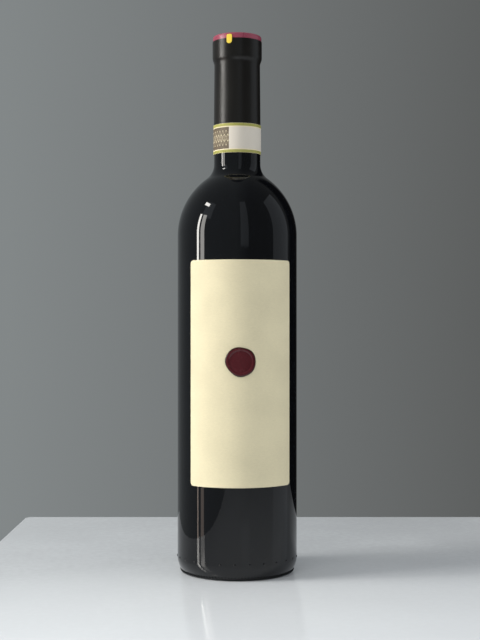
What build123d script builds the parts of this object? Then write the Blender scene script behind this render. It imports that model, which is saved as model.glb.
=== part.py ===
from build123d import *

import os
from math import acos, asin, atan2, cos, degrees, hypot, radians, sin

# A sealed 0.75 litre wine bottle of the tall, high-shouldered kind.
#
# Seven separate pieces: the dark glass bottle with its foot, punt and mouth ring, the shrunk capsule
# sleeve, the capsule's top disc, the tear tab folded over the sleeve's edge, the paper strip round
# the neck, the paper label on the front and the wax seal on the label.
#
# Millimetres and degrees. +Z is up, the origin is the centre of the foot on the surface it stands
# on, and the label faces -Y. The glass is too dark to see into and the bottle is shut, so the wine
# and the cork are part of the glass solid.

# Clearance between pieces that lie on each other, the thickness of a film of glue.
GLUE_GAP = 0.02

# Body of the bottle.
BODY_RADIUS = 36.5
BODY_HEIGHT = 204.7  # foot to the start of the shoulder
SHOULDER_RADIUS = 42.9
NECK_FILLET_RADIUS = 11.1

# Heel, foot and punt.
HEEL_HEIGHT = 9.3
HEEL_RADIUS = 13.5
FOOT_EDGE_RADIUS = 0.8
FOOT_WIDTH = 2.0  # the flat ring that the bottle stands on, before its edges are rounded
PUNT_DEPTH = 24.0
PUNT_TIP_RADIUS = 13.0
PUNT_EDGE_RADIUS = 1.6

# Neck and the ring at its mouth.
NECK_BASE_RADIUS = 14.25
NECK_TOP_RADIUS = 13.7
NECK_LENGTH = 61.1
RING_STAND_OUT = 0.9  # how far the ring stands out from the top of the neck
RING_SLOPE_HEIGHT = 2.8
RING_HEIGHT = 13.65
RING_EDGE_RADIUS = 1.0

# Capsule: sleeve and top disc.
FILM_THICKNESS = 0.23
DISC_THICKNESS = 0.35
DISC_SHOWS = 3.4  # height of the disc's rim above the sleeve
DISC_TUCK = 1.8  # height of the disc's rim inside the sleeve
SLEEVE_SOFTENING = 1.2  # rounding of the sleeve where it leaves the ring

# Tear tab, folded outwards over the sleeve's top edge.
TAB_WIDTH = 3.3
TAB_DROP = 3.3  # how far it hangs below the sleeve's top edge
TAB_RISE = 2.2  # how far it stands above that edge
TAB_THICKNESS = 0.22
TAB_TOP_CORNER = 0.8
TAB_BOTTOM_CORNER = 1.5
TAB_TURN = -23.0  # from the middle of the label, seen from the front: negative is to the left

# Paper strip round the neck.
STRIP_WIDTH = 17.7
STRIP_THICKNESS = 0.22
STRIP_ABOVE_SHOULDER = 5.7
STRIP_OVER_SLEEVE = 5.5
STRIP_LAP_ANGLE = 42.0  # its two ends overlap behind the bottle

# Front label.
LABEL_WIDTH = 68.0
LABEL_ABOVE_FOOT = 55.0
LABEL_BELOW_SHOULDER = 16.2
LABEL_THICKNESS = 0.2
LABEL_CORNER = 2.2

# Wax seal on the label: an uneven round with a shallow round field pressed into it.
SEAL_RADIUS = 8.9
SEAL_FIELD_RADIUS = 6.6
SEAL_RIM_THICKNESS = 0.8
SEAL_FIELD_THICKNESS = 0.4
SEAL_ABOVE_LABEL_FOOT = 73.9  # from the label's lower edge to the seal's centre
SEAL_TURN = -1.5  # from the middle of the label: negative is to the left
# The waves of its outline: how many round it, their height as a share of the radius, and where one
# of them peaks.
SEAL_WAVES = ((2, 0.03, 160.0), (3, 0.02, 35.0), (5, 0.014, 40.0))

# Worked out from the sizes above.
FRONT = -90.0  # direction of the label's middle about Z
SHOULDER_TURN = acos(1 - (BODY_RADIUS - NECK_BASE_RADIUS) / (SHOULDER_RADIUS + NECK_FILLET_RADIUS))
SHOULDER_RISE = SHOULDER_RADIUS * sin(SHOULDER_TURN)
NECK_START = BODY_HEIGHT + SHOULDER_RISE + NECK_FILLET_RADIUS * sin(SHOULDER_TURN)
NECK_END = NECK_START + NECK_LENGTH
RING_RADIUS = NECK_TOP_RADIUS + RING_STAND_OUT
RING_START = NECK_END + RING_SLOPE_HEIGHT
GLASS_TOP = RING_START + RING_HEIGHT
DISC_TOP = GLASS_TOP + GLUE_GAP + DISC_THICKNESS
DISC_RADIUS = RING_RADIUS + GLUE_GAP + FILM_THICKNESS
SLEEVE_TOP = DISC_TOP - DISC_SHOWS
SLEEVE_RADIUS = DISC_RADIUS + GLUE_GAP + FILM_THICKNESS
STRIP_BOTTOM = NECK_START + STRIP_ABOVE_SHOULDER
STRIP_TOP = STRIP_BOTTOM + STRIP_WIDTH
SLEEVE_BOTTOM = STRIP_TOP - STRIP_OVER_SLEEVE
LABEL_RADIUS = BODY_RADIUS + GLUE_GAP + LABEL_THICKNESS
SEAL_HEIGHT = LABEL_ABOVE_FOOT + SEAL_ABOVE_LABEL_FOOT


def neck_radius(height):
    """Radius of the glass neck, which narrows evenly from the shoulder to the ring."""
    share = (height - NECK_START) / NECK_LENGTH
    return NECK_BASE_RADIUS + share * (NECK_TOP_RADIUS - NECK_BASE_RADIUS)


def around(centre, radius, angle):
    """The point at an angle, in radians, on a circle in the radius-height plane."""
    return centre[0] + radius * cos(angle), centre[1] + radius * sin(angle)


def arc(centre, radius, start, end):
    """An arc between two angles, in radians, about a centre in the radius-height plane."""
    through = (start + end) / 2
    return ThreePointArc(*(around(centre, radius, angle) for angle in (start, through, end)))


def turned(outline, corners=(), angle=360.0, start=0.0):
    """A solid turned about Z from an outline of edges, with some of its corners rounded first.

    Each corner is its radius and its point; start is the direction of the first cut, in degrees.
    """
    face = make_face(Plane.XZ * Curve(outline))
    for radius, (across, up) in corners:
        place = Vector(across, 0, up)
        nearest = min(face.vertices(), key=lambda vertex: (Vector(*vertex) - place).length)
        face = face.face().fillet_2d(radius, [nearest])
    return Rot(0, 0, start) * revolve(face, Axis.Z, angle)


def polyline(*points):
    """Straight edges through the points."""
    return [Line(a, b) for a, b in zip(points, points[1:])]


def punt_edges(foot_inner):
    """The hollow under the foot: a cone from the foot's inner edge that runs into a rounded tip."""
    tip = (0.0, PUNT_DEPTH - PUNT_TIP_RADIUS)
    reach = hypot(foot_inner, tip[1])
    touch = atan2(-tip[1], foot_inner) + acos(PUNT_TIP_RADIUS / reach)
    return [
        arc(tip, PUNT_TIP_RADIUS, radians(90), touch),
        Line(around(tip, PUNT_TIP_RADIUS, touch), (foot_inner, 0)),
    ]


def glass_bottle():
    """The glass: foot, heel, straight body, round shoulder, narrowing neck and mouth ring."""
    heel = (BODY_RADIUS - HEEL_RADIUS, HEEL_HEIGHT)
    heel_turn = asin(HEEL_HEIGHT / HEEL_RADIUS)
    foot_outer = heel[0] + HEEL_RADIUS * cos(heel_turn)
    foot_inner = foot_outer - FOOT_WIDTH - FOOT_EDGE_RADIUS
    shoulder = (BODY_RADIUS - SHOULDER_RADIUS, BODY_HEIGHT)
    fillet = (NECK_BASE_RADIUS + NECK_FILLET_RADIUS, NECK_START)
    half_turn = radians(180)
    outline = [
        *punt_edges(foot_inner),
        Line((foot_inner, 0), (foot_outer, 0)),
        arc(heel, HEEL_RADIUS, -heel_turn, 0),
        Line((BODY_RADIUS, HEEL_HEIGHT), (BODY_RADIUS, BODY_HEIGHT)),
        arc(shoulder, SHOULDER_RADIUS, 0, SHOULDER_TURN),
        arc(fillet, NECK_FILLET_RADIUS, half_turn + SHOULDER_TURN, half_turn),
        *polyline(
            (NECK_BASE_RADIUS, NECK_START),
            (NECK_TOP_RADIUS, NECK_END),
            (RING_RADIUS, RING_START),
            (RING_RADIUS, GLASS_TOP),
            (0, GLASS_TOP),
            (0, PUNT_DEPTH),
        ),
    ]
    corners = [
        (PUNT_EDGE_RADIUS, (foot_inner, 0)),
        (FOOT_EDGE_RADIUS, (foot_outer, 0)),
        (RING_EDGE_RADIUS, (RING_RADIUS, GLASS_TOP)),
    ]
    return turned(outline, corners)


def capsule_disc():
    """The capsule's top: a disc over the mouth whose rim goes down inside the sleeve."""
    inner_radius = DISC_RADIUS - FILM_THICKNESS
    rim_end = SLEEVE_TOP - DISC_TUCK
    outline = polyline(
        (0, GLASS_TOP + GLUE_GAP),
        (inner_radius, GLASS_TOP + GLUE_GAP),
        (inner_radius, rim_end),
        (DISC_RADIUS, rim_end),
        (DISC_RADIUS, DISC_TOP),
        (0, DISC_TOP),
        (0, GLASS_TOP + GLUE_GAP),
    )
    corners = [
        (RING_EDGE_RADIUS, (inner_radius, GLASS_TOP + GLUE_GAP)),
        (RING_EDGE_RADIUS + FILM_THICKNESS, (DISC_RADIUS, DISC_TOP)),
    ]
    return turned(outline, corners)


def capsule_sleeve():
    """The shrunk sleeve: round the disc's rim and the ring, in under the ring and down the neck."""
    inner_radius = SLEEVE_RADIUS - FILM_THICKNESS
    neck_top = neck_radius(NECK_END) + GLUE_GAP
    neck_bottom = neck_radius(SLEEVE_BOTTOM) + GLUE_GAP
    film = FILM_THICKNESS
    outline = polyline(
        (inner_radius, SLEEVE_TOP),
        (inner_radius, RING_START),
        (neck_top, NECK_END),
        (neck_bottom, SLEEVE_BOTTOM),
        (neck_bottom + film, SLEEVE_BOTTOM),
        (neck_top + film, NECK_END),
        (SLEEVE_RADIUS, RING_START),
        (SLEEVE_RADIUS, SLEEVE_TOP),
        (inner_radius, SLEEVE_TOP),
    )
    corners = [
        (SLEEVE_SOFTENING, (SLEEVE_RADIUS, RING_START)),
        (SLEEVE_SOFTENING + film, (neck_top + film, NECK_END)),
    ]
    return turned(outline, corners)


def tear_tab():
    """The end of the tear tape: it rises against the disc, folds outwards and hangs on the sleeve."""
    inner_radius = DISC_RADIUS + GLUE_GAP
    hanging_radius = SLEEVE_RADIUS + GLUE_GAP
    outer_radius = hanging_radius + TAB_THICKNESS
    fold = SLEEVE_TOP + GLUE_GAP
    top = SLEEVE_TOP + TAB_RISE
    bottom = SLEEVE_TOP - TAB_DROP
    angle = degrees(TAB_WIDTH / SLEEVE_RADIUS)
    outline = polyline(
        (inner_radius, top),
        (inner_radius, fold),
        (hanging_radius, fold),
        (hanging_radius, bottom),
        (outer_radius, bottom),
        (outer_radius, top),
        (inner_radius, top),
    )
    tab = turned(outline, angle=angle, start=FRONT + TAB_TURN - angle / 2)
    radial = radial_edges(tab)
    tab = fillet([e for e in radial if e.center().Z > top - TAB_RISE / 2], TAB_TOP_CORNER)
    radial = radial_edges(tab)
    return fillet([e for e in radial if e.center().Z < bottom + TAB_DROP / 2], TAB_BOTTOM_CORNER)


def neck_strip():
    """The paper strip: it covers the sleeve's lower edge, and one end laps the other at the back.

    It is as wide inside as the widest place that it goes over, on the bare glass or on the sleeve.
    """
    on_glass = neck_radius(STRIP_BOTTOM)
    on_sleeve = max(neck_radius(SLEEVE_BOTTOM), neck_radius(STRIP_TOP)) + GLUE_GAP + FILM_THICKNESS
    inner_radius = max(on_glass, on_sleeve) + GLUE_GAP
    outer_radius = inner_radius + STRIP_THICKNESS
    lap_start = -FRONT - STRIP_LAP_ANGLE / 2
    band = turned(sheet_section(inner_radius, STRIP_THICKNESS, STRIP_BOTTOM, STRIP_TOP))
    lap = turned(
        sheet_section(outer_radius, STRIP_THICKNESS, STRIP_BOTTOM, STRIP_TOP),
        angle=STRIP_LAP_ANGLE,
        start=lap_start,
    )
    return band + lap


def front_label():
    """The label: a sheet bent round the body, with rounded corners."""
    inner_radius = LABEL_RADIUS - LABEL_THICKNESS
    angle = degrees(LABEL_WIDTH / LABEL_RADIUS)
    top = BODY_HEIGHT - LABEL_BELOW_SHOULDER
    section = sheet_section(inner_radius, LABEL_THICKNESS, LABEL_ABOVE_FOOT, top)
    label = turned(section, angle=angle, start=FRONT - angle / 2)
    return fillet(radial_edges(label), LABEL_CORNER)


def seal_outline():
    """The seal's uneven round outline, seen from the front and centred on its own middle."""
    points = []
    for direction in range(0, 360, 10):
        waves = (share * cos(radians(count * (direction - peak))) for count, share, peak in SEAL_WAVES)
        points.append(around((0, 0), SEAL_RADIUS * (1 + sum(waves)), radians(direction)))
    return Spline(*points, periodic=True)


def wax_seal():
    """The seal: a round of wax bent to the label, with its field pressed in below the rim."""
    bed_radius = LABEL_RADIUS + GLUE_GAP
    seal_front = Pos(0, -bed_radius - SEAL_RIM_THICKNESS, SEAL_HEIGHT)
    whole_way = bed_radius + SEAL_RIM_THICKNESS

    def layer(face, thickness):
        """What the face cuts out of the space that lies within a thickness of the label."""
        block = extrude(seal_front * (Plane.XZ * face), whole_way, dir=(0, 1, 0))
        core = Pos(0, 0, SEAL_HEIGHT) * Cylinder(bed_radius, 4 * SEAL_RADIUS)
        skin = Pos(0, 0, SEAL_HEIGHT) * Cylinder(bed_radius + thickness, 4 * SEAL_RADIUS)
        return (block & skin) - core

    outline = make_face(seal_outline())
    field = Circle(SEAL_FIELD_RADIUS)
    rim = layer(outline - field, SEAL_RIM_THICKNESS)
    return Rot(0, 0, SEAL_TURN) * (rim + layer(field, SEAL_FIELD_THICKNESS))


def sheet_section(inner_radius, thickness, bottom, top):
    """The cut edge of a sheet that stands upright round the axis."""
    outer_radius = inner_radius + thickness
    return polyline(
        (inner_radius, bottom),
        (outer_radius, bottom),
        (outer_radius, top),
        (inner_radius, top),
        (inner_radius, bottom),
    )


def radial_edges(sheet):
    """The edges of a bent sheet that point away from the axis through the sheet's thickness."""
    level = [e for e in sheet.edges().filter_by(GeomType.LINE) if abs((e % 0.5).Z) < 0.01]
    lowest = min(e.center().Z for e in level)
    highest = max(e.center().Z for e in level)
    return [e for e in level if min(e.center().Z - lowest, highest - e.center().Z) < 0.01]


NODES = {
    "glass_bottle": glass_bottle,
    "capsule_disc": capsule_disc,
    "capsule_sleeve": capsule_sleeve,
    "tear_tab": tear_tab,
    "neck_strip": neck_strip,
    "front_label": front_label,
    "wax_seal": wax_seal,
}

os.makedirs("parts", exist_ok=True)
for node, build in NODES.items():
    export_step(build(), f"parts/{node}.step")
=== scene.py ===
from math import acos, asin, atan2, cos, hypot, pi, radians, sin, sqrt, tau
from typing import NamedTuple

import bmesh
import bpy
from mathutils import Matrix, Vector


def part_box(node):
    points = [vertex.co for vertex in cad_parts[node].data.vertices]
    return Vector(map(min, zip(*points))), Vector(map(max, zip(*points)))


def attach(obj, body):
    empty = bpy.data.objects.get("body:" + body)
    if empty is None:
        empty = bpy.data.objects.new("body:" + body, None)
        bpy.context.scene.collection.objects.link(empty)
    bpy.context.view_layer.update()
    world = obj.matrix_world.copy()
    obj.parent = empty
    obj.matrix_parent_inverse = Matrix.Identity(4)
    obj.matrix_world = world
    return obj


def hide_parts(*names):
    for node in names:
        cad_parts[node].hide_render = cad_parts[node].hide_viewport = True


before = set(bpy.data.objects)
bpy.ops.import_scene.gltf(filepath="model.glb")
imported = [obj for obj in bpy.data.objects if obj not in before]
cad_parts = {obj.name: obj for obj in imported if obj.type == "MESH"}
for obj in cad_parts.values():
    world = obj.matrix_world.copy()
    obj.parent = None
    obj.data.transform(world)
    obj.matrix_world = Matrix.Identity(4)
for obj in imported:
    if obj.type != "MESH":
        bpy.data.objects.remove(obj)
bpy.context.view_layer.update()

bl_info = {
    "name": "Wine bottle",
    "version": (1, 0, 0),
    "blender": (4, 5, 0),
    "location": "3D View > Sidebar > Bottle",
    "description": "Builds a sealed wine bottle: glass, capsule, tear tab, neck strip, label and seal",
    "category": "Add Mesh",
}

MM = 0.001
BODY = "root"
FRONT = -pi / 2  # direction of the label's middle about Z
GLUE = 0.02 * MM  # film of glue between two pieces
WELD = 0.002 * MM  # points nearer than this become one
CREASE = radians(50)  # a sharper turn between two faces shows as an edge
CORNER_STEPS = 8  # straight runs in a rounded corner
SHEET_ROWS = 9  # rows of points up a bent sheet
DUST = (0.35, 0.34, 0.32)  # pale grey dust
DUST_ROUGHNESS = 0.4  # added to the roughness where dust lies
WEAR = (0.5, 0.46, 0.38)  # handled, slightly soiled paper
PRINT_EDGE = 0.04 * MM  # how far a printed patch's edge fades
PAPER_TONES = (0.38, 0.62)  # usual range of the paper grain's tone

# Places taken from the packed model.
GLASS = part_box("glass_bottle")
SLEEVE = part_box("capsule_sleeve")
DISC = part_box("capsule_disc")
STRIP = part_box("neck_strip")
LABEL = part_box("front_label")
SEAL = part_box("wax_seal")
BODY_RADIUS = GLASS[1][0]
GLASS_TOP = GLASS[1][2]
SLEEVE_RADIUS = SLEEVE[1][0]
DISC_RADIUS = DISC[1][0]


# ---- sizes and colours


def length(name, description, default):
    """A size in metres that a user can change."""
    return bpy.props.FloatProperty(
        name=name, description=description, default=default, min=0.0, subtype="DISTANCE",
        unit="LENGTH", precision=5,
    )


def number(name, description, default):
    """A plain number that a user can change."""
    return bpy.props.FloatProperty(name=name, description=description, default=default, precision=4)


def angle(name, description, degrees):
    """An angle that a user can change."""
    return bpy.props.FloatProperty(
        name=name, description=description, default=radians(degrees), subtype="ANGLE",
        unit="ROTATION",
    )


def colour(name, description, default):
    """A linear colour that a user can change."""
    return bpy.props.FloatVectorProperty(
        name=name, description=description, default=default, size=3, min=0.0, max=1.0,
        subtype="COLOR",
    )


def count(name, description, default):
    """A whole number that a user can change."""
    return bpy.props.IntProperty(name=name, description=description, default=default, min=3)


class GlassSizes(bpy.types.PropertyGroup):
    """The glass bottle's outline and the marks of its mould."""

    body_height: length("Body height", "Foot to the start of the shoulder", 204.7 * MM)
    shoulder_radius: length("Shoulder radius", "Radius of the shoulder's curve", 42.9 * MM)
    neck_fillet: length("Neck fillet", "Radius where the shoulder runs into the neck", 11.1 * MM)
    heel_height: length("Heel height", "Height of the rounded heel", 9.3 * MM)
    heel_radius: length("Heel radius", "Radius of the heel's curve", 13.5 * MM)
    foot_width: length("Foot width", "Width of the ring that it stands on", 2.8 * MM)
    foot_edge: length("Foot edge", "Rounding of the foot's edges", 0.8 * MM)
    punt_depth: length("Punt depth", "Depth of the hollow under the foot", 24.0 * MM)
    punt_tip: length("Punt tip", "Radius of the hollow's rounded tip", 13.0 * MM)
    neck_base: length("Neck foot radius", "Radius where the neck starts", 14.25 * MM)
    neck_top: length("Neck top radius", "Radius just under the mouth ring", 13.7 * MM)
    neck_length: length("Neck length", "From the shoulder to the mouth ring", 61.1 * MM)
    ring_out: length("Ring stand-out", "How far the mouth ring stands out", 0.9 * MM)
    ring_slope: length("Ring slope", "Height of the slope under the mouth ring", 2.8 * MM)
    ring_edge: length("Ring edge", "Rounding of the mouth's edge", 1.0 * MM)
    segments: count("Segments", "Faces round the bottle", 256)
    knurls: count("Knurls", "Small raised knurls round the foot", 108)
    knurl_size: length("Knurl size", "Half the width of one knurl", 0.52 * MM)
    knurl_depth: length("Knurl depth", "How far a knurl stands out of the glass", 0.75 * MM)
    knurl_height: length("Knurl height", "Half the height of one knurl", 1.1 * MM)
    knurl_lean: angle("Knurl lean", "How far the knurls lean with the heel", 40.0)
    knurl_rise: angle("Knurl rise", "How far up the heel's curve the knurls sit", 7.0)
    dots: count("Mould dots", "Small raised dots round the heel", 26)
    dot_size: length("Mould dot size", "Radius of one raised dot", 0.75 * MM)
    dot_depth: length("Mould dot depth", "How far a dot stands out of the glass", 0.35 * MM)
    dot_height: length("Mould dot height", "Height of the dots above the foot", 9.8 * MM)


class CapsuleSizes(bpy.types.PropertyGroup):
    """The shrunk sleeve and its top disc."""

    film: length("Film", "Thickness of the shrunk film", 0.23 * MM)
    gap: length("Glue gap", "Film of glue between pieces", GLUE)
    softening: length("Softening", "Rounding where the sleeve leaves the ring", 1.2 * MM)
    disc_edge: length("Disc edge", "Rounding of the disc's upper edge", 1.2 * MM)
    disc_dish: length("Disc dish", "How far the disc sinks in its middle", 0.12 * MM)
    segments: count("Segments", "Faces round the capsule", 160)


class PaperSizes(bpy.types.PropertyGroup):
    """The label and the neck strip."""

    label_width: length("Label width", "Width of the label along its curve", 68.0 * MM)
    label_corner: length("Label corner", "Radius of the label's corners", 2.2 * MM)
    label_thickness: length("Label thickness", "Thickness of the label's paper", 0.2 * MM)
    strip_thickness: length("Strip thickness", "Thickness of the strip's paper", 0.22 * MM)
    strip_lap: angle("Strip lap", "Angle over which the strip's ends overlap", 42.0)
    strip_ramp: angle("Strip ramp", "Angle over which one end climbs onto the other", 5.0)
    stripe_start: length("Stripe start", "Pale border outside each stripe", 0.12 * MM)
    stripe_end: length("Stripe end", "Inner edge of each stripe", 1.7 * MM)
    field_end: length("Field end", "Brown field's end, to the left of the front", 6.2 * MM)
    loop_length: length("Loop length", "Length of one loop of the printed lines", 4.6 * MM)
    loop_height: length("Loop height", "Height of the printed loops", 4.4 * MM)
    line_width: length("Line width", "Half the width of a printed line", 0.17 * MM)
    line_fade: length("Line fade", "How far a printed line fades at its sides", 0.12 * MM)
    hatch: length("Hatch", "Width of one dark and one light line of the hatching", 0.42 * MM)
    border: length("Border", "Cream band inside each stripe", 0.6 * MM)


class SealSizes(bpy.types.PropertyGroup):
    """The wax seal."""

    radius: length("Radius", "Mean radius of the seal", 8.9 * MM)
    field: length("Field radius", "Radius of the round pressed into it", 6.6 * MM)
    rim_height: length("Rim height", "Thickness at the rolled rim", 0.8 * MM)
    field_height: length("Field height", "Thickness inside the rim", 0.4 * MM)
    turn: angle("Turn", "Place round the bottle from the label's middle", -1.5)


class Finishes(bpy.types.PropertyGroup):
    """The colours of every surface, as linear values."""

    glass: colour("Glass", "Dark glass with red wine behind it", (0.0026, 0.003, 0.0042))
    capsule: colour("Capsule", "Black shrink film", (0.0065, 0.0055, 0.0045))
    disc: colour("Disc", "Wine-red capsule top", (0.27, 0.05, 0.085))
    tape: colour("Tear tape", "Yellow-gold tape", (0.8, 0.6, 0.07))
    label: colour("Label", "Cream paper", (0.7, 0.635, 0.435))
    field: colour("Strip field", "Brown printed field", (0.12, 0.088, 0.055))
    lines: colour("Strip lines", "Cream printed lines", (0.7, 0.62, 0.42))
    stripe: colour("Strip stripe", "Yellow-green printed stripe", (0.3, 0.295, 0.06))
    panel: colour("Strip panel", "Pale printed panel", (0.6, 0.56, 0.49))
    wax: colour("Wax", "Dark red sealing wax", (0.075, 0.007, 0.011))
    # Painted shade: near-black colour laid on the seal's rolled-down rim
    shaded_wax_edge: colour("Wax edge", "Wax at the thick outer edge", (0.014, 0.004, 0.003))
    floor: colour("Table", "Pale table top", (0.8, 0.84, 0.88))
    # The walls' grey runs lighter towards the window: painted light from the window
    wall_left: colour("Wall, left", "Grey behind the table, near the window", (0.225, 0.243, 0.246))
    wall_right: colour("Wall, right", "Grey behind the table, far side", (0.112, 0.117, 0.116))
    corner: colour("Dark corner", "Far right, outside the camera's view", (0.008, 0.008, 0.008))
    soft_light: colour("Soft light", "Tint of the light from all round", (0.93, 0.96, 1.0))


class StageSizes(bpy.types.PropertyGroup):
    """The camera, the table and the soft light."""

    distance: length("Camera distance", "From the bottle's axis", 0.7655)
    height: length("Camera height", "Above the table", 0.1516)
    turn: angle("Camera turn", "Round the bottle from its front", -4.7)
    lens: bpy.props.FloatProperty(
        name="Lens", description="Focal length", default=70.3, min=1.0, subtype="DISTANCE_CAMERA"
    )
    table_far: length("Table, far", "From the axis to the far edge", 0.215)
    table_near: length("Table, near", "From the axis to the near edge", 0.72)
    table_left: length("Table, left", "From the axis to the left edge", 0.168)
    table_right: length("Table, right", "From the axis to the right edge", 0.9)
    table_depth: length("Table thickness", "From its top to its underside", 0.025)
    table_edge: length("Table edge", "Rounding of the table's edges", 0.006)
    shift_x: number("Shift across", "Moves the picture sideways, as a share of its size", 0.0044)
    shift_y: number("Shift up", "Moves the picture up, as a share of its size", 0.0041)
    soft_strength: number("Soft strength", "Strength of the light from all round", 0.44)


# ---- meshes


def new_piece(name, points, faces=(), edges=(), uvs=None):
    """An object at the origin whose place is in its mesh; uvs gives one (u, v) for each point."""
    mesh = bpy.data.meshes.new(name)
    mesh.from_pydata([tuple(p) for p in points], list(edges), list(faces))
    if uvs:
        layer = mesh.uv_layers.new(name="UVMap")
        for loop in mesh.loops:
            layer.data[loop.index].uv = uvs[loop.vertex_index]
    piece = bpy.data.objects.new(name, mesh)
    bpy.context.scene.collection.objects.link(piece)
    return piece


def baked(piece):
    """Turns the piece's modifiers into a plain, closed mesh with outward faces."""
    depsgraph = bpy.context.evaluated_depsgraph_get()
    mesh = bpy.data.meshes.new_from_object(piece.evaluated_get(depsgraph))
    piece.modifiers.clear()
    piece.data = mesh
    work = bmesh.new()
    work.from_mesh(mesh)
    bmesh.ops.remove_doubles(work, verts=work.verts, dist=WELD)
    bmesh.ops.recalc_face_normals(work, faces=work.faces)
    work.to_mesh(mesh)
    work.free()
    mesh.shade_smooth()
    mesh.set_sharp_from_angle(angle=CREASE)
    return piece


def stands_for(piece, node):
    """The finished piece rides on the body and takes the CAD node's place."""
    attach(piece, BODY)
    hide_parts(node)


def spread(low, high, steps):
    """Evenly spaced values from low to high."""
    return [low + (high - low) * i / steps for i in range(steps + 1)]


def arc(centre, radius, start, end, steps=24):
    """Points on an arc in the radius-height plane, between two angles."""
    x, z = centre
    return [(x + radius * cos(a), z + radius * sin(a)) for a in spread(start, end, steps)]


def rounded(before, corner, after, radius):
    """The corner between two straight runs, rounded by a smooth curve that starts radius away."""
    into = (Vector(before) - Vector(corner)).normalized() * radius
    away = (Vector(after) - Vector(corner)).normalized() * radius
    shares = spread(0.0, 1.0, CORNER_STEPS)
    return [tuple(Vector(corner) + into * (1 - t) ** 2 + away * t**2) for t in shares]


def neck_start(sizes):
    """Height where the neck starts, and how far the shoulder's arc turns."""
    drop = BODY_RADIUS - sizes.neck_base
    turn = acos(1 - drop / (sizes.shoulder_radius + sizes.neck_fillet))
    return sizes.body_height + (sizes.shoulder_radius + sizes.neck_fillet) * sin(turn), turn


def neck_radius(sizes, height):
    """Radius of the glass neck at a height."""
    share = (height - neck_start(sizes)[0]) / sizes.neck_length
    return sizes.neck_base + share * (sizes.neck_top - sizes.neck_base)


def glass_outline(sizes):
    """The bottle's outline from the tip of the punt, round the foot and up to the mouth."""
    heel = (BODY_RADIUS - sizes.heel_radius, sizes.heel_height)
    heel_turn = asin(sizes.heel_height / sizes.heel_radius)
    outer = heel[0] + sizes.heel_radius * cos(heel_turn)
    inner = outer - sizes.foot_width
    tip = (0.0, sizes.punt_depth - sizes.punt_tip)
    touch = atan2(-tip[1], inner) + acos(sizes.punt_tip / hypot(inner, tip[1]))
    cone = (tip[0] + sizes.punt_tip * cos(touch), tip[1] + sizes.punt_tip * sin(touch))
    start, turn = neck_start(sizes)
    shoulder = (BODY_RADIUS - sizes.shoulder_radius, sizes.body_height)
    fillet = (sizes.neck_base + sizes.neck_fillet, start)
    neck_end = start + sizes.neck_length
    ring = sizes.neck_top + sizes.ring_out
    heel_start = -heel_turn + 0.1  # the first stretch of the heel belongs to the foot's edge
    above_foot = arc(heel, sizes.heel_radius, -heel_turn, heel_start, steps=1)[-1]
    edge = 2 * sizes.foot_edge
    return [
        *arc(tip, sizes.punt_tip, pi / 2, touch, steps=16),
        *rounded(cone, (inner, 0), (outer, 0), edge),
        *rounded((inner, 0), (outer, 0), above_foot, sizes.foot_edge),
        *arc(heel, sizes.heel_radius, heel_start, 0),
        *[(BODY_RADIUS, z) for z in spread(sizes.heel_height, sizes.body_height, steps=12)[1:]],
        *arc(shoulder, sizes.shoulder_radius, 0, turn, steps=40)[1:],
        *arc(fillet, sizes.neck_fillet, pi + turn, pi, steps=20),
        (sizes.neck_top, neck_end),
        (ring, neck_end + sizes.ring_slope),
        *rounded((ring, neck_end), (ring, GLASS_TOP), (0, GLASS_TOP), sizes.ring_edge),
        (0, GLASS_TOP),
    ]


# ---- geometry nodes


def socket_of(sockets, name):
    """The shown socket of that name."""
    return next(s for s in sockets if s.name == name and s.enabled)


def add_node(tree, kind, settings=None, **inputs):
    """Adds a node, sets its options and gives its inputs, each a value or another node's socket.

    An input's name is written with underscores for spaces, or as in_0, in_1 by its place.
    """
    node = tree.nodes.new(kind)
    for key, value in (settings or {}).items():
        setattr(node, key, value)
    for key, value in inputs.items():
        if key.startswith("in_"):
            socket = node.inputs[int(key[3:])]
        else:
            socket = socket_of(node.inputs, key.replace("_", " "))
        if isinstance(value, bpy.types.NodeSocket):
            tree.links.new(value, socket)
        else:
            socket.default_value = value
    return node


def add_math(tree, operation, *values):
    """A Math node's result."""
    inputs = {f"in_{i}": value for i, value in enumerate(values)}
    return add_node(tree, "ShaderNodeMath", {"operation": operation}, **inputs).outputs[0]


def new_tree(name, inputs):
    """A geometry tree with a Geometry input and output and the named inputs, and its input node."""
    tree = bpy.data.node_groups.new(name, "GeometryNodeTree")
    tree.interface.new_socket("Geometry", in_out="INPUT", socket_type="NodeSocketGeometry")
    for label, kind in inputs:
        tree.interface.new_socket(label, in_out="INPUT", socket_type=kind)
    tree.interface.new_socket("Geometry", in_out="OUTPUT", socket_type="NodeSocketGeometry")
    return tree, tree.nodes.new("NodeGroupInput").outputs


def end_tree(tree, geometry, material):
    """Ends a tree in Realize Instances and Set Material."""
    real = add_node(tree, "GeometryNodeRealizeInstances", Geometry=geometry).outputs[0]
    painted = add_node(tree, "GeometryNodeSetMaterial", Geometry=real, Material=material)
    output = tree.nodes.new("NodeGroupOutput")
    tree.links.new(painted.outputs[0], output.inputs[0])


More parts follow.
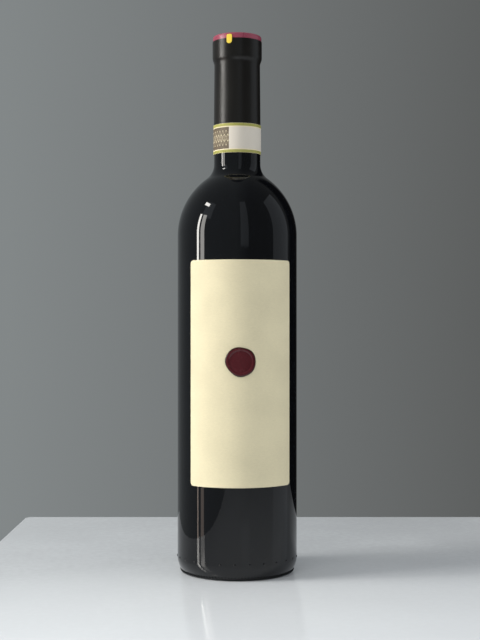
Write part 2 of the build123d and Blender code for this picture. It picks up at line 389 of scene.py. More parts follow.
def turned_tree():
    """Turns the object's own outline, a row of points in the XZ plane, about Z."""
    tree, given = new_tree("turned_piece", [
        ("Segments", "NodeSocketInt"), ("Material", "NodeSocketMaterial"),
    ])
    outline = given["Geometry"]
    size = add_node(tree, "GeometryNodeAttributeDomainSize", {"component": "MESH"}, Geometry=outline)
    columns = add_math(tree, "ADD", given["Segments"], 1.0)
    grid = add_node(
        tree, "GeometryNodeMeshGrid", Vertices_X=size.outputs["Point Count"], Vertices_Y=columns
    )
    index = tree.nodes.new("GeometryNodeInputIndex").outputs[0]
    row = add_math(tree, "FLOOR", add_math(tree, "DIVIDE", add_math(tree, "ADD", index, 0.5), columns))
    column = add_math(tree, "SUBTRACT", index, add_math(tree, "MULTIPLY", row, columns))
    place = tree.nodes.new("GeometryNodeInputPosition").outputs[0]
    sample = add_node(
        tree, "GeometryNodeSampleIndex", {"data_type": "FLOAT_VECTOR", "domain": "POINT"},
        Geometry=outline, Value=place, Index=row,
    )
    part = add_math(tree, "DIVIDE", column, given["Segments"])
    turn = add_node(
        tree, "ShaderNodeVectorRotate", {"rotation_type": "Z_AXIS"},
        Vector=socket_of(sample.outputs, "Value"), Angle=add_math(tree, "MULTIPLY", part, tau),
    )
    placed = add_node(
        tree, "GeometryNodeSetPosition", Geometry=grid.outputs["Mesh"], Position=turn.outputs[0]
    )
    closed = add_node(
        tree, "GeometryNodeMergeByDistance", Geometry=placed.outputs[0], Distance=WELD
    )
    end_tree(tree, closed.outputs[0], given["Material"])
    return tree


def bumps_tree():
    """Adds a ring of small rounded bumps about Z to the object."""
    tree, given = new_tree("ring_of_bumps", [
        ("Count", "NodeSocketInt"), ("Ring Radius", "NodeSocketFloat"),
        ("Height", "NodeSocketFloat"), ("Bump Size", "NodeSocketVector"),
        ("Lean", "NodeSocketFloat"), ("Material", "NodeSocketMaterial"),
    ])
    ring = add_node(
        tree, "GeometryNodeMeshCircle", {"fill_type": "NONE"},
        Vertices=given["Count"], Radius=given["Ring Radius"],
    )
    up = add_node(tree, "ShaderNodeCombineXYZ", Z=given["Height"]).outputs[0]
    raised = add_node(tree, "GeometryNodeSetPosition", Geometry=ring.outputs[0], Offset=up)
    ball = add_node(tree, "GeometryNodeMeshUVSphere", Segments=8, Rings=6, Radius=1.0)
    index = tree.nodes.new("GeometryNodeInputIndex").outputs[0]
    turn = add_math(tree, "MULTIPLY", add_math(tree, "DIVIDE", index, given["Count"]), tau)
    euler = add_node(tree, "ShaderNodeCombineXYZ", Y=given["Lean"], Z=turn).outputs[0]
    bumps = add_node(
        tree, "GeometryNodeInstanceOnPoints", Points=raised.outputs[0],
        Instance=ball.outputs["Mesh"], Rotation=euler, Scale=given["Bump Size"],
    )
    joined = tree.nodes.new("GeometryNodeJoinGeometry")
    tree.links.new(bumps.outputs[0], joined.inputs[0])
    tree.links.new(given["Geometry"], joined.inputs[0])
    end_tree(tree, joined.outputs[0], given["Material"])
    return tree


def use_tree(piece, tree, **values):
    """Puts a geometry tree on the piece and sets its inputs by their identifiers."""
    modifier = piece.modifiers.new(tree.name, "NODES")
    modifier.node_group = tree
    names = {key.replace("_", " "): value for key, value in values.items()}
    for item in tree.interface.items_tree:
        if item.in_out == "INPUT" and item.name in names:
            modifier[item.identifier] = names[item.name]
    piece.update_tag()


def turned_piece(name, outline, segments, material):
    """A piece turned about Z from (radius, height) points."""
    points = [(r, 0.0, z) for r, z in outline]
    edges = [(i, i + 1) for i in range(len(points) - 1)]
    piece = new_piece(name, points, edges=edges)
    use_tree(piece, shared_tree("turned_piece", turned_tree), Segments=segments, Material=material)
    return piece


def shared_tree(name, build):
    """The tree of that name, built on first use."""
    return bpy.data.node_groups.get(name) or build()


# ---- materials


def new_group(name, inputs, outputs):
    """A shader node group with named inputs (name, kind, default) and outputs (name, kind)."""
    tree = bpy.data.node_groups.new(name, "ShaderNodeTree")
    for label, kind, default in inputs:
        socket = tree.interface.new_socket(label, in_out="INPUT", socket_type=kind)
        socket.default_value = default
    for label, kind in outputs:
        tree.interface.new_socket(label, in_out="OUTPUT", socket_type=kind)
    return tree, tree.nodes.new("NodeGroupInput").outputs, tree.nodes.new("NodeGroupOutput").inputs


def ranged(tree, value, low, high, from_min=0.3, from_max=0.7):
    """The value, moved from between from_min and from_max to between low and high."""
    return add_node(
        tree, "ShaderNodeMapRange", Value=value, From_Min=from_min, From_Max=from_max, To_Min=low,
        To_Max=high,
    ).outputs[0]


def noise(tree, place, scale, **inputs):
    """A noise texture's value."""
    node = add_node(tree, "ShaderNodeTexNoise", Vector=place, Scale=scale, **inputs)
    return node.outputs["Fac"]


def handling_group():
    """Soft smudges, thin vertical wipes and specks of dust, as on anything that is handled."""
    tree, given, out = new_group(
        "handling_marks",
        [("Smudge Scale", "NodeSocketFloat", 60.0), ("Dust", "NodeSocketFloat", 0.5)],
        [("Smudge", "NodeSocketFloat"), ("Dust", "NodeSocketFloat"), ("Height", "NodeSocketFloat")],
    )
    place = tree.nodes.new("ShaderNodeTexCoord").outputs["Object"]
    smudge = noise(tree, place, given["Smudge Scale"], Detail=4.0, Roughness=0.6)
    tall = add_node(tree, "ShaderNodeMapping", Vector=place, Scale=(1.0, 1.0, 0.12)).outputs[0]
    wipe = noise(tree, tall, 240.0, Detail=2.0)
    wipe_share = 0.35
    smudged = add_math(tree, "MULTIPLY", smudge, 1 - wipe_share)
    handled = add_math(tree, "MULTIPLY_ADD", wipe, wipe_share, smudged)
    specks = add_node(tree, "ShaderNodeTexVoronoi", Vector=place, Scale=420.0).outputs["Distance"]
    near = ranged(tree, specks, 1.0, 0.0, from_min=0.05, from_max=0.12)
    here = ranged(tree, noise(tree, place, 35.0), 0.0, 1.0, from_min=0.5, from_max=0.68)
    dust = add_math(tree, "MULTIPLY", add_math(tree, "MULTIPLY", near, here), given["Dust"])
    tree.links.new(handled, out["Smudge"])
    tree.links.new(dust, out["Dust"])
    tree.links.new(smudge, out["Height"])
    return tree


def paper_group():
    """Felt marks, fibres and a slow unevenness of uncoated paper."""
    tree, given, out = new_group(
        "paper_grain",
        [("Felt Scale", "NodeSocketFloat", 900.0), ("Fibre Scale", "NodeSocketFloat", 2600.0)],
        [("Tone", "NodeSocketFloat"), ("Height", "NodeSocketFloat")],
    )
    place = tree.nodes.new("ShaderNodeTexCoord").outputs["Object"]
    felt = noise(tree, place, given["Felt Scale"], Detail=3.0)
    across = add_node(tree, "ShaderNodeMapping", Vector=place, Scale=(0.25, 0.25, 1.0)).outputs[0]
    fibre = noise(tree, across, given["Fibre Scale"], Detail=2.0, Distortion=0.8)
    slow = noise(tree, place, 38.0, Detail=2.0)
    fibre_share = 0.4
    fibres = add_math(tree, "MULTIPLY", fibre, fibre_share)
    height = add_math(tree, "ADD", fibres, felt)
    tone = add_math(tree, "MULTIPLY_ADD", slow, 1 - fibre_share, fibres)
    tree.links.new(tone, out["Tone"])
    tree.links.new(height, out["Height"])
    return tree


def new_material(name):
    """An empty material with its Principled shader."""
    material = bpy.data.materials.new(name)
    material.use_nodes = True
    return material, material.node_tree, material.node_tree.nodes["Principled BSDF"]


def use_group(tree, name, build, **inputs):
    """Places a shared shader group in a material with its own values."""
    node = tree.nodes.new("ShaderNodeGroup")
    node.node_tree = shared_tree(name, build)
    for key, value in inputs.items():
        node.inputs[key.replace("_", " ")].default_value = value
    return node.outputs


def own_uv(tree):
    """The values of the piece's own UV map; the third is always 0."""
    uv = add_node(tree, "ShaderNodeUVMap", {"uv_map": "UVMap"}).outputs[0]
    return add_node(tree, "ShaderNodeSeparateXYZ", Vector=uv).outputs


def mixed(tree, share, first, second):
    """One colour laid over another by a mask."""
    under, over = (
        given if isinstance(given, bpy.types.NodeSocket) else (*given, 1.0)
        for given in (first, second)
    )
    node = add_node(tree, "ShaderNodeMix", {"data_type": "RGBA"}, Factor=share, A=under, B=over)
    return socket_of(node.outputs, "Result")


def shade(tree, base, share, amount):
    """A colour that turns darker, to that amount of itself, where the mask is 0."""
    return mixed(tree, share, tuple(part * amount for part in base), tuple(base))


def bump(tree, shader, height, depth, strength=1.0):
    """Relief of that depth on the shader."""
    node = add_node(tree, "ShaderNodeBump", Height=height, Distance=depth, Strength=strength)
    tree.links.new(node.outputs[0], shader.inputs["Normal"])


def glossy_material(name, base, roughness, ior, dust, relief, darker=0.6):
    """A smooth surface with smudges in its gloss, a little dust and a faint unevenness."""
    material, tree, shader = new_material(name)
    marks = use_group(tree, "handling_marks", handling_group, Smudge_Scale=55.0, Dust=dust)
    tone = ranged(tree, marks["Smudge"], 0.0, 1.0)
    clean = shade(tree, base, tone, darker)
    dusty = mixed(tree, marks["Dust"], clean, DUST)
    tree.links.new(dusty, shader.inputs["Base Color"])
    rough = ranged(tree, marks["Smudge"], *roughness)
    rougher = add_math(tree, "MULTIPLY_ADD", marks["Dust"], DUST_ROUGHNESS, rough)
    tree.links.new(rougher, shader.inputs["Roughness"])
    shader.inputs["IOR"].default_value = ior
    bump(tree, shader, marks["Height"], relief)
    return material


def paper_material(name, base):
    """Uncoated paper of one colour."""
    material, tree, shader = new_material(name)
    grain = use_group(tree, "paper_grain", paper_group)
    tone = ranged(tree, grain["Tone"], 0.0, 1.0, *PAPER_TONES)
    tree.links.new(shade(tree, base, tone, amount=0.9), shader.inputs["Base Color"])
    shader.inputs["Roughness"].default_value = 0.72
    shader.inputs["Specular IOR Level"].default_value = 0.35
    bump(tree, shader, grain["Height"], 0.06 * MM, strength=0.6)
    return material


def line_mask(tree, distance, half_width, softness):
    """1 within half_width of where the distance is 0, fading over softness."""
    away = add_math(tree, "ABSOLUTE", distance)
    return add_node(
        tree, "ShaderNodeMapRange", {"interpolation_type": "SMOOTHSTEP"}, Value=away,
        From_Min=half_width, From_Max=half_width + softness, To_Min=1.0, To_Max=0.0,
    ).outputs[0]


def step_mask(tree, value, edge):
    """0 below the edge and 1 above it."""
    return ranged(tree, value, 0.0, 1.0, from_min=edge, from_max=edge + PRINT_EDGE)


# The printed loops' waves: each one's share of the loop height, and where it starts.
STRIP_WAVES = ((1.0, 0.0), (-1.0, 0.0), (0.45, pi / 2), (-0.45, pi / 2))
LINE_STRENGTH = 0.85  # how fully the printed lines cover the field
HATCH_DARK = 0.62  # the hatching's dark lines, as a share of the field's colour


def strip_material(sizes, finishes, width):
    """The neck strip's print: brown field with crossing wavy lines, pale panel and two stripes."""
    material, tree, shader = new_material("strip_paper")
    grain = use_group(tree, "paper_grain", paper_group)
    along, up, _ = own_uv(tree)
    from_middle = add_math(tree, "SUBTRACT", up, width / 2)
    phase = add_math(tree, "MULTIPLY", along, tau / sizes.loop_length)
    lines = None
    for share, start in STRIP_WAVES:
        wave = add_math(tree, "SINE", add_math(tree, "ADD", phase, start))
        offset = add_math(tree, "MULTIPLY", wave, share * sizes.loop_height)
        away = add_math(tree, "SUBTRACT", from_middle, offset)
        mask = line_mask(tree, away, sizes.line_width, sizes.line_fade)
        lines = mask if lines is None else add_math(tree, "MAXIMUM", lines, mask)
    hatch = add_math(tree, "SINE", add_math(tree, "MULTIPLY", along, tau / sizes.hatch))
    light = ranged(tree, hatch, 0.0, 1.0, from_min=-1.0, from_max=1.0)
    hatched = shade(tree, finishes.field, light, HATCH_DARK)
    inked = add_math(tree, "MULTIPLY", lines, LINE_STRENGTH)
    field = mixed(tree, inked, hatched, finishes.lines)
    panel_share = step_mask(tree, along, -sizes.field_end)
    printed = mixed(tree, panel_share, field, finishes.panel)
    edge_distance = add_math(tree, "SUBTRACT", width / 2, add_math(tree, "ABSOLUTE", from_middle))
    inside = step_mask(tree, edge_distance, sizes.stripe_end + sizes.border)
    bordered = mixed(tree, inside, finishes.lines, printed)
    stripe_middle = (sizes.stripe_start + sizes.stripe_end) / 2
    stripe = line_mask(
        tree, add_math(tree, "SUBTRACT", edge_distance, stripe_middle),
        (sizes.stripe_end - sizes.stripe_start) / 2, softness=0.05 * MM,
    )
    striped = mixed(tree, stripe, bordered, finishes.stripe)
    wear = ranged(tree, grain["Tone"], 0.1, 0.0, *PAPER_TONES)
    tree.links.new(mixed(tree, wear, striped, WEAR), shader.inputs["Base Color"])
    shader.inputs["Roughness"].default_value = 0.6
    shader.inputs["Specular IOR Level"].default_value = 0.4
    bump(tree, shader, grain["Height"], 0.04 * MM, strength=0.5)
    return material


# ---- bent sheets


def bent_sheet(name, columns, thickness, radius_at, span_at):
    """A sheet of paper round Z.

    columns are distances along it from the front; radius_at and span_at give its inner radius and
    its lower and upper edge at such a distance. The UV map is the distance and the height.
    """
    points, uvs = [], []
    foot = min(span_at(u)[0] for u in columns)
    for layer in (0.0, thickness):
        for u in columns:
            radius = radius_at(u)
            turn = FRONT + u / radius_at(0.0)
            low, high = span_at(u)
            for z in spread(low, high, SHEET_ROWS - 1):
                points.append(((radius + layer) * cos(turn), (radius + layer) * sin(turn), z))
                uvs.append((u, z - foot))
    size = len(columns) * SHEET_ROWS
    faces = []
    for c in range(len(columns) - 1):
        for i in range(SHEET_ROWS - 1):
            a, b = c * SHEET_ROWS + i, (c + 1) * SHEET_ROWS + i
            faces.append((size + a, size + b, size + b + 1, size + a + 1))
            faces.append((a, a + 1, b + 1, b))
        for i in (0, SHEET_ROWS - 1):
            a, b = c * SHEET_ROWS + i, (c + 1) * SHEET_ROWS + i
            faces.append((a, b, size + b, size + a))
    for c in (0, len(columns) - 1):
        for i in range(SHEET_ROWS - 1):
            a = c * SHEET_ROWS + i
            faces.append((a, a + 1, size + a + 1, size + a))
    return baked(new_piece(name, points, faces, uvs=uvs))


# ---- operators


def paint(piece, material):
    """Gives the piece that one material."""
    piece.data.materials.clear()
    piece.data.materials.append(material)


class Lamp(NamedTuple):
    """An area lamp that stands round the bottle and faces it."""

    name: str
    bearing: float  # degrees round Z from the camera's side
    distance: float
    height: float  # of its middle above the table
    width: float
    tall: float
    power: float
    tint: tuple
    shows: bool  # whether glossy surfaces show it


WARM = (1.0, 0.97, 0.92)  # the window
COOL = (0.85, 0.92, 1.0)  # the room
BROWN = (1.0, 0.8, 0.68)  # what stands below the window
LAMPS = (
    Lamp("left_pane", -79.5, 1.15, 0.41, 0.09, 0.78, 5.2, WARM, True),
    Lamp("right_pane", -69.0, 1.15, 0.41, 0.17, 0.78, 3.2, WARM, True),
    Lamp("high_pane", -77.0, 1.2, 1.27, 0.3, 0.15, 3.2, WARM, True),
    Lamp("soft_left", -80.0, 1.3, 0.9, 0.7, 0.9, 14.0, WARM, False),
    Lamp("soft_top", -20.0, 1.2, 1.7, 0.9, 0.9, 7.0, WARM, False),
    Lamp("soft_right", 60.0, 1.4, 1.0, 0.9, 0.9, 5.0, WARM, False),
    Lamp("left_pane_low", -79.5, 1.15, -0.58, 0.04, 1.16, 0.8, BROWN, True),
    Lamp("right_pane_low", -69.0, 1.15, -0.58, 0.14, 1.16, 0.8, BROWN, True),
    Lamp("curtain", -66.0, 1.5, 1.3, 0.6, 0.9, 0.7, COOL, True),
    Lamp("front_wall", 14.0, 1.6, 1.35, 0.42, 2.1, 0.9, COOL, True),
    Lamp("right_wall", 92.0, 1.5, 0.75, 1.1, 2.2, 2.8, COOL, True),
)
AIM_HEIGHT = 0.16  # height on the bottle's axis


class BOTTLE_OT_stage(bpy.types.Operator):
    """Makes the table, the grey surroundings, the lamps and the camera"""

    bl_idname = "bottle.stage"
    bl_label = "Stage"

    # Between which X of the direction looked in the walls' grey runs from left to right, and
    # between which X and Y the dark corner sets in.
    WALLS_ACROSS = (-0.1, 0.27)
    CORNER_ACROSS = (0.34, 0.42)
    CORNER_BEHIND = (0.36, 0.46)

    def execute(self, context):
        sizes = context.scene.bottle_stage
        colours = context.scene.bottle_finishes
        table = self.table(sizes)
        paint(table, self.table_material(colours.floor))
        self.surroundings(context.scene, colours, sizes.soft_strength)
        self.lamps(sizes.turn)
        self.camera(context.scene, sizes)
        return {"FINISHED"}

    def table(self, sizes):
        """A table top with a small rounded edge, turned to the camera, its surface at height 0."""
        corners = [
            (x, y, z)
            for z in (-sizes.table_depth, 0.0)
            for x in (-sizes.table_left, sizes.table_right)
            for y in (-sizes.table_near, sizes.table_far)
        ]
        table = new_piece(
            "table_top",
            corners,
            [(0, 1, 3, 2), (4, 6, 7, 5), (0, 2, 6, 4), (1, 5, 7, 3), (0, 4, 5, 1), (2, 3, 7, 6)],
        )
        edge = table.modifiers.new("edge", "BEVEL")
        edge.width = sizes.table_edge
        edge.segments = 3
        baked(table)
        table.data.transform(Matrix.Rotation(sizes.turn, 4, "Z"))
        return table

    def table_material(self, base):
        material, tree, shader = new_material("table_top")
        marks = use_group(tree, "handling_marks", handling_group, Smudge_Scale=9.0, Dust=0.0)
        tone = ranged(tree, marks["Smudge"], 0.0, 1.0)
        tree.links.new(shade(tree, base, tone, amount=0.96), shader.inputs["Base Color"])
        rough = ranged(tree, marks["Smudge"], 0.1, 0.17)
        tree.links.new(rough, shader.inputs["Roughness"])
        return material

    def surroundings(self, scene, colours, strength):
        """Grey walls, painted lighter on the window's side, where they are looked at or reflected, and
        a soft light for everything else.

        A corner at the far right, outside the camera's view, is dark, and the glass's edge shows it.
        """
        world = bpy.data.worlds.new("surroundings")
        scene.world = world
        world.use_nodes = True
        tree = world.node_tree
        seen = tree.nodes["Background"]
        direction = tree.nodes.new("ShaderNodeTexCoord").outputs["Generated"]
        parts = add_node(tree, "ShaderNodeSeparateXYZ", Vector=direction).outputs
        across = ranged(tree, parts["X"], 0.0, 1.0, *self.WALLS_ACROSS)
        walls = mixed(tree, across, colours.wall_left, colours.wall_right)
        far_right = ranged(tree, parts["X"], 0.0, 1.0, *self.CORNER_ACROSS)
        behind = ranged(tree, parts["Y"], 0.0, 1.0, *self.CORNER_BEHIND)
        corner = add_math(tree, "MULTIPLY", far_right, behind)
        tree.links.new(mixed(tree, corner, walls, colours.corner), seen.inputs["Color"])
        light = add_node(
            tree, "ShaderNodeBackground", Color=(*colours.soft_light, 1.0), Strength=strength
        )
        path = tree.nodes.new("ShaderNodeLightPath").outputs
        share = add_math(tree, "MAXIMUM", path["Is Camera Ray"], path["Is Glossy Ray"])
        choose = add_node(
            tree, "ShaderNodeMixShader", in_0=share, in_1=light.outputs[0], in_2=seen.outputs[0]
        )
        tree.links.new(choose.outputs[0], tree.nodes["World Output"].inputs["Surface"])

    def lamps(self, turn):
        """A window in panes at the left, soft light from three sides and dim walls to reflect.

        Those that glossy surfaces show stand upright, and the others point at the bottle's middle.
        """
        for given in LAMPS:
            around = turn + radians(given.bearing)
            reach = given.distance
            data = bpy.data.lights.new(given.name, "AREA")
            data.shape = "RECTANGLE"
            data.size = given.width
            data.size_y = given.tall
            data.energy = given.power
            data.color = given.tint
            lamp = bpy.data.objects.new(given.name, data)
            lamp.location = (sin(around) * reach, -cos(around) * reach, given.height)
            lamp.visible_glossy = given.shows
            aim = Vector((0, 0, AIM_HEIGHT)) - lamp.location
            if given.shows:
                aim.z = 0.0
            lamp.rotation_euler = aim.to_track_quat("-Z", "Y").to_euler()
            bpy.context.scene.collection.objects.link(lamp)

    def camera(self, scene, sizes):
        """A level camera; the shift places the bottle a little left of the middle."""
        data = bpy.data.cameras.new("camera")
        data.lens = sizes.lens
        data.shift_x = sizes.shift_x
        data.shift_y = sizes.shift_y
        data.clip_start = 0.01
        camera = bpy.data.objects.new("camera", data)
        turn = sizes.turn
        camera.location = (sin(turn) * sizes.distance, -cos(turn) * sizes.distance, sizes.height)
        camera.rotation_euler = (pi / 2, 0.0, turn)
        scene.collection.objects.link(camera)
        scene.camera = camera
        scene.view_settings.view_transform = "Standard"


class BOTTLE_OT_glass(bpy.types.Operator):
    """Turns the dark glass bottle, with the knurls round its foot and the dots round its heel"""

    bl_idname = "bottle.glass"
    bl_label = "Glass bottle"

    def execute(self, context):
        sizes = context.scene.bottle_glass
        base = context.scene.bottle_finishes.glass
        material = glossy_material(
            "dark_glass", base, roughness=(0.02, 0.045), ior=1.43, dust=0.06, relief=0.02 * MM
        )
        piece = turned_piece("glass_body", glass_outline(sizes), sizes.segments, material)
        tree = shared_tree("ring_of_bumps", bumps_tree)
        heel_centre = BODY_RADIUS - sizes.heel_radius
        low = asin(sizes.heel_height / sizes.heel_radius) - sizes.knurl_rise
        use_tree(
            piece, tree, Count=sizes.knurls, Material=material, Lean=sizes.knurl_lean,
            Ring_Radius=heel_centre + sizes.heel_radius * cos(low),
            Height=sizes.heel_height - sizes.heel_radius * sin(low),
            Bump_Size=(sizes.knurl_depth, sizes.knurl_size, sizes.knurl_height),
        )
        high = asin(max(0.0, sizes.heel_height - sizes.dot_height) / sizes.heel_radius)
        use_tree(
            piece, tree, Count=sizes.dots, Material=material, Lean=0.0,
            Ring_Radius=heel_centre + sizes.heel_radius * cos(high), Height=sizes.dot_height,
            Bump_Size=(sizes.dot_depth, sizes.dot_size, sizes.dot_size),
        )
        stands_for(baked(piece), "glass_bottle")
        return {"FINISHED"}


class BOTTLE_OT_capsule(bpy.types.Operator):
    """Makes the black sleeve shrunk over the neck and the red disc on its top"""

    bl_idname = "bottle.capsule"
    bl_label = "Capsule"

    DISH_SHARES = (0.3, 0.5, 0.7, 0.85)  # of the disc's radius, where its dished top has points

    def execute(self, context):
        sizes = context.scene.bottle_capsule
        glass = context.scene.bottle_glass
        colours = context.scene.bottle_finishes
        black = glossy_material(
            "capsule_black", colours.capsule, roughness=(0.26, 0.36), ior=1.44, dust=0.15,
            relief=0.05 * MM,
        )
        red = glossy_material(
            "capsule_red", colours.disc, roughness=(0.24, 0.34), ior=1.5, dust=0.2,
            relief=0.04 * MM, darker=0.85,
        )
        outline = self.sleeve(sizes, glass)
        sleeve = turned_piece("capsule_sleeve_film", outline, sizes.segments, black)
        stands_for(baked(sleeve), "capsule_sleeve")
        disc = turned_piece("capsule_top_disc", self.disc(sizes), sizes.segments, red)
        stands_for(baked(disc), "capsule_disc")
        return {"FINISHED"}

    def sleeve(self, sizes, glass):
        """The sleeve's film: down outside, over the ring and the neck, and back up inside."""
        neck_end = neck_start(glass)[0] + glass.neck_length
        ring_start = neck_end + glass.ring_slope
        low, high = SLEEVE[0][2], SLEEVE[1][2]
        under = neck_radius(glass, neck_end) + sizes.gap
        foot = neck_radius(glass, low) + sizes.gap
        outside = [
            (SLEEVE_RADIUS, high),
            *rounded(
                (SLEEVE_RADIUS, high), (SLEEVE_RADIUS, ring_start), (under + sizes.film, neck_end),
                sizes.softening,
            ),
            *rounded(
                (SLEEVE_RADIUS, ring_start), (under + sizes.film, neck_end),
                (foot + sizes.film, low), sizes.softening,
            ),
            (foot + sizes.film, low),
        ]
        inner = SLEEVE_RADIUS - sizes.film
        inside = [(foot, low), (under, neck_end), (inner, ring_start), (inner, high)]
        return [*outside, *inside, outside[0]]

    def disc(self, sizes):
        """The disc: a skirt inside the sleeve, a rounded edge and a slightly dished top."""
        low, high = DISC[0][2], DISC[1][2]
        inner = DISC_RADIUS - sizes.film
        dish = high - sizes.disc_dish
        top = [(DISC_RADIUS * r, dish + sizes.disc_dish * r**4) for r in self.DISH_SHARES]
        below = GLASS_TOP + sizes.gap
        return [
            (0.0, dish),
            *top,
            *rounded(top[-1], (DISC_RADIUS, high), (DISC_RADIUS, low), sizes.disc_edge),
            (DISC_RADIUS, low),
            (inner, low),
            *rounded((inner, low), (inner, below), (0.0, below), sizes.disc_edge - sizes.film),
            (0.0, below),
        ]


class BOTTLE_OT_tear_tab(bpy.types.Operator):
    """Gives the tear tab its yellow-gold film"""

    bl_idname = "bottle.tear_tab"
    bl_label = "Tear tab"

    def execute(self, context):
        gold = context.scene.bottle_finishes.tape
        material = glossy_material(
            "tape_yellow", gold, roughness=(0.3, 0.42), ior=1.5, dust=0.0, relief=0.04 * MM,
            darker=0.85,
        )
        paint(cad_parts["tear_tab"], material)
        return {"FINISHED"}


class BOTTLE_OT_neck_strip(bpy.types.Operator):
    """Wraps the printed paper strip round the neck, its ends lapped at the back"""

    bl_idname = "bottle.neck_strip"
    bl_label = "Neck strip"

    COLUMNS = 200  # stretches round the strip

    def execute(self, context):
        sizes = context.scene.bottle_paper
        low, high = STRIP[0][2], STRIP[1][2]
        inner = STRIP[1][0] - sizes.strip_thickness
        half = (pi + sizes.strip_lap / 2) * inner
        ramp = sizes.strip_ramp * inner
        lap_start = (pi - sizes.strip_lap / 2) * inner

        def radius_at(u):
            """The strip climbs onto its other end over a short ramp."""
            climb = min(1.0, max(0.0, (u - lap_start + ramp) / ramp))
            return inner + climb * (sizes.strip_thickness + GLUE)

        strip = bent_sheet(
            "neck_strip_paper", spread(-half, half, self.COLUMNS), sizes.strip_thickness, radius_at,
            lambda u: (low, high),
        )
        paint(strip, strip_material(sizes, context.scene.bottle_finishes, high - low))
        stands_for(strip, "neck_strip")
        return {"FINISHED"}


class BOTTLE_OT_label(bpy.types.Operator):
    """Bends the bare cream label round the front of the body"""

    bl_idname = "bottle.label"
    bl_label = "Front label"

    COLUMNS = 72  # stretches between the rounded corners

    def execute(self, context):
        sizes = context.scene.bottle_paper
        low, high = LABEL[0][2], LABEL[1][2]
        inner = -LABEL[0][1] - sizes.label_thickness
        half, corner = sizes.label_width / 2, sizes.label_corner
        edge = [corner * (1 - cos(a)) for a in spread(0.0, pi / 2, CORNER_STEPS)]
        left = [-half + d for d in edge]
        middle = spread(-half + corner, half - corner, self.COLUMNS)[1:-1]
        columns = left + middle + [-u for u in reversed(left)]

        def span_at(u):
            """The rounded corners take a little off the first and last stretch."""
            into = max(0.0, corner - (half - abs(u)))
            cut = corner - sqrt(max(0.0, corner**2 - into**2))
            return low + cut, high - cut

        label = bent_sheet(
            "front_label_paper", columns, sizes.label_thickness, lambda u: inner, span_at
        )
        paint(label, paper_material("label_paper", context.scene.bottle_finishes.label))
        stands_for(label, "front_label")
        return {"FINISHED"}


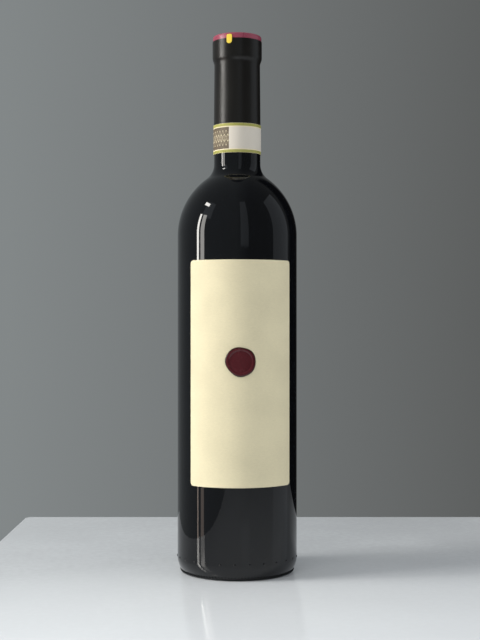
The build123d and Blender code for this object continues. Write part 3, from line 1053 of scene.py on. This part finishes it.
class BOTTLE_OT_wax_seal(bpy.types.Operator):
    """Presses the plain wax seal onto the label, with its rolled rim and sunken field"""

    bl_idname = "bottle.wax_seal"
    bl_label = "Wax seal"

    # Waves: how many go round, how high they are as a share, and the angle where one peaks.
    OUTLINE_WAVES = ((2, 0.03, 160.0), (3, 0.02, 35.0), (5, 0.014, 40.0))
    SWELL_WAVES = ((1, 0.08, 200.0), (3, 0.05, -21.0085))
    RINGS = 36  # from the middle to the edge
    SEGMENTS = 144  # round the seal
    FIELD_SHARE = 0.5  # share of the rings that lie in the field
    CLIMB_END = 0.3  # share of the rim's width at which it has risen to its height
    FALL_START = 0.5  # share of the rim's width from which it rolls down to the label

    def execute(self, context):
        sizes = context.scene.bottle_seal
        rings, segments = self.RINGS, self.SEGMENTS
        points, faces, uvs = [], [], []
        for layer in (1.0, 0.0):
            for ring in range(rings + 1):
                share = ring / rings
                for k in range(segments):
                    points.append(self.place(sizes, share, tau * k / segments, layer))
                    uvs.append((share, layer))
        for top in (0, 1):
            first = top * (rings + 1) * segments
            for ring in range(rings):
                for k in range(segments):
                    a = first + ring * segments + k
                    b = first + ring * segments + (k + 1) % segments
                    faces.append((a, b, b + segments, a + segments))
        seal = baked(new_piece("wax_seal_round", points, faces, uvs=uvs))
        seal.data.set_sharp_from_angle(angle=pi)
        paint(seal, self.wax(context.scene.bottle_finishes))
        stands_for(seal, "wax_seal")
        return {"FINISHED"}

    def wax(self, colours):
        """Wax with painted shade where its rim rolls down; the UV map's first value runs from middle
        to edge.
        """
        material, tree, shader = new_material("wax")
        marks = use_group(tree, "handling_marks", handling_group, Smudge_Scale=260.0, Dust=0.0)
        share = own_uv(tree)["X"]
        tone = ranged(tree, marks["Smudge"], 0.0, 1.0)
        body = shade(tree, colours.wax, tone, amount=0.75)
        # Painted shade: the wax turns near-black where its rim rolls down to the label
        edge = ranged(tree, share, 0.0, 1.0, from_min=0.78, from_max=0.92)
        tree.links.new(mixed(tree, edge, body, colours.shaded_wax_edge), shader.inputs["Base Color"])
        tree.links.new(ranged(tree, marks["Smudge"], 0.2, 0.3), shader.inputs["Roughness"])
        shader.inputs["IOR"].default_value = 1.42
        bump(tree, shader, marks["Height"], 0.15 * MM)
        return material

    def waves(self, kinds, around):
        """The sum of the waves at an angle round the seal."""
        return sum(part * cos(n * (around - radians(peak))) for n, part, peak in kinds)

    def place(self, sizes, share, around, layer):
        """A point of the seal, on its face (layer 1) or its back (layer 0), bent to the label."""
        height = sizes.field_height
        if share <= self.FIELD_SHARE:
            reach = sizes.field * share / self.FIELD_SHARE
        else:
            out = (share - self.FIELD_SHARE) / (1 - self.FIELD_SHARE)
            outline = sizes.radius * (1 + self.waves(self.OUTLINE_WAVES, around))
            reach = sizes.field + (outline - sizes.field) * out
            climb = min(1.0, out / self.CLIMB_END)
            height += (sizes.rim_height - sizes.field_height) * sin(climb * pi / 2)
            fall = max(0.0, (out - self.FALL_START) / (1 - self.FALL_START))
            height *= sqrt(1 - fall**2) * (1 + self.waves(self.SWELL_WAVES, around))
        bed = GLUE - LABEL[0][1]
        turn = FRONT + sizes.turn + reach * cos(around) / bed
        radius = bed + layer * height
        middle = (SEAL[0][2] + SEAL[1][2]) / 2
        return radius * cos(turn), radius * sin(turn), middle + reach * sin(around)


class BOTTLE_PT_panel(bpy.types.Panel):
    """Lists the steps that build the bottle"""

    bl_idname = "BOTTLE_PT_panel"
    bl_label = "Wine bottle"
    bl_space_type = "VIEW_3D"
    bl_region_type = "UI"
    bl_category = "Bottle"

    def draw(self, context):
        for operator in STEPS:
            self.layout.operator(operator.bl_idname)
        for name in SETTINGS:
            group = getattr(context.scene, name)
            box = self.layout.box()
            box.label(text=SETTINGS[name].__doc__)
            for key in SETTINGS[name].__annotations__:
                box.prop(group, key)


SETTINGS = {
    "bottle_glass": GlassSizes,
    "bottle_capsule": CapsuleSizes,
    "bottle_paper": PaperSizes,
    "bottle_seal": SealSizes,
    "bottle_finishes": Finishes,
    "bottle_stage": StageSizes,
}
STEPS = (
    BOTTLE_OT_stage,
    BOTTLE_OT_glass,
    BOTTLE_OT_capsule,
    BOTTLE_OT_tear_tab,
    BOTTLE_OT_neck_strip,
    BOTTLE_OT_label,
    BOTTLE_OT_wax_seal,
)
CLASSES = (*SETTINGS.values(), *STEPS, BOTTLE_PT_panel)


def register():
    """Registers the classes and puts their settings on the scene."""
    for item in CLASSES:
        bpy.utils.register_class(item)
    for name, kind in SETTINGS.items():
        setattr(bpy.types.Scene, name, bpy.props.PointerProperty(type=kind))


def unregister():
    """Takes the settings and classes away again."""
    for name in SETTINGS:
        delattr(bpy.types.Scene, name)
    for item in reversed(CLASSES):
        bpy.utils.unregister_class(item)


def main():
    """Builds the whole bottle on its stage."""
    register()
    bpy.ops.bottle.stage()
    bpy.ops.bottle.glass()
    bpy.ops.bottle.capsule()
    bpy.ops.bottle.tear_tab()
    bpy.ops.bottle.neck_strip()
    bpy.ops.bottle.label()
    bpy.ops.bottle.wax_seal()


if __name__ == "__main__":
    main()
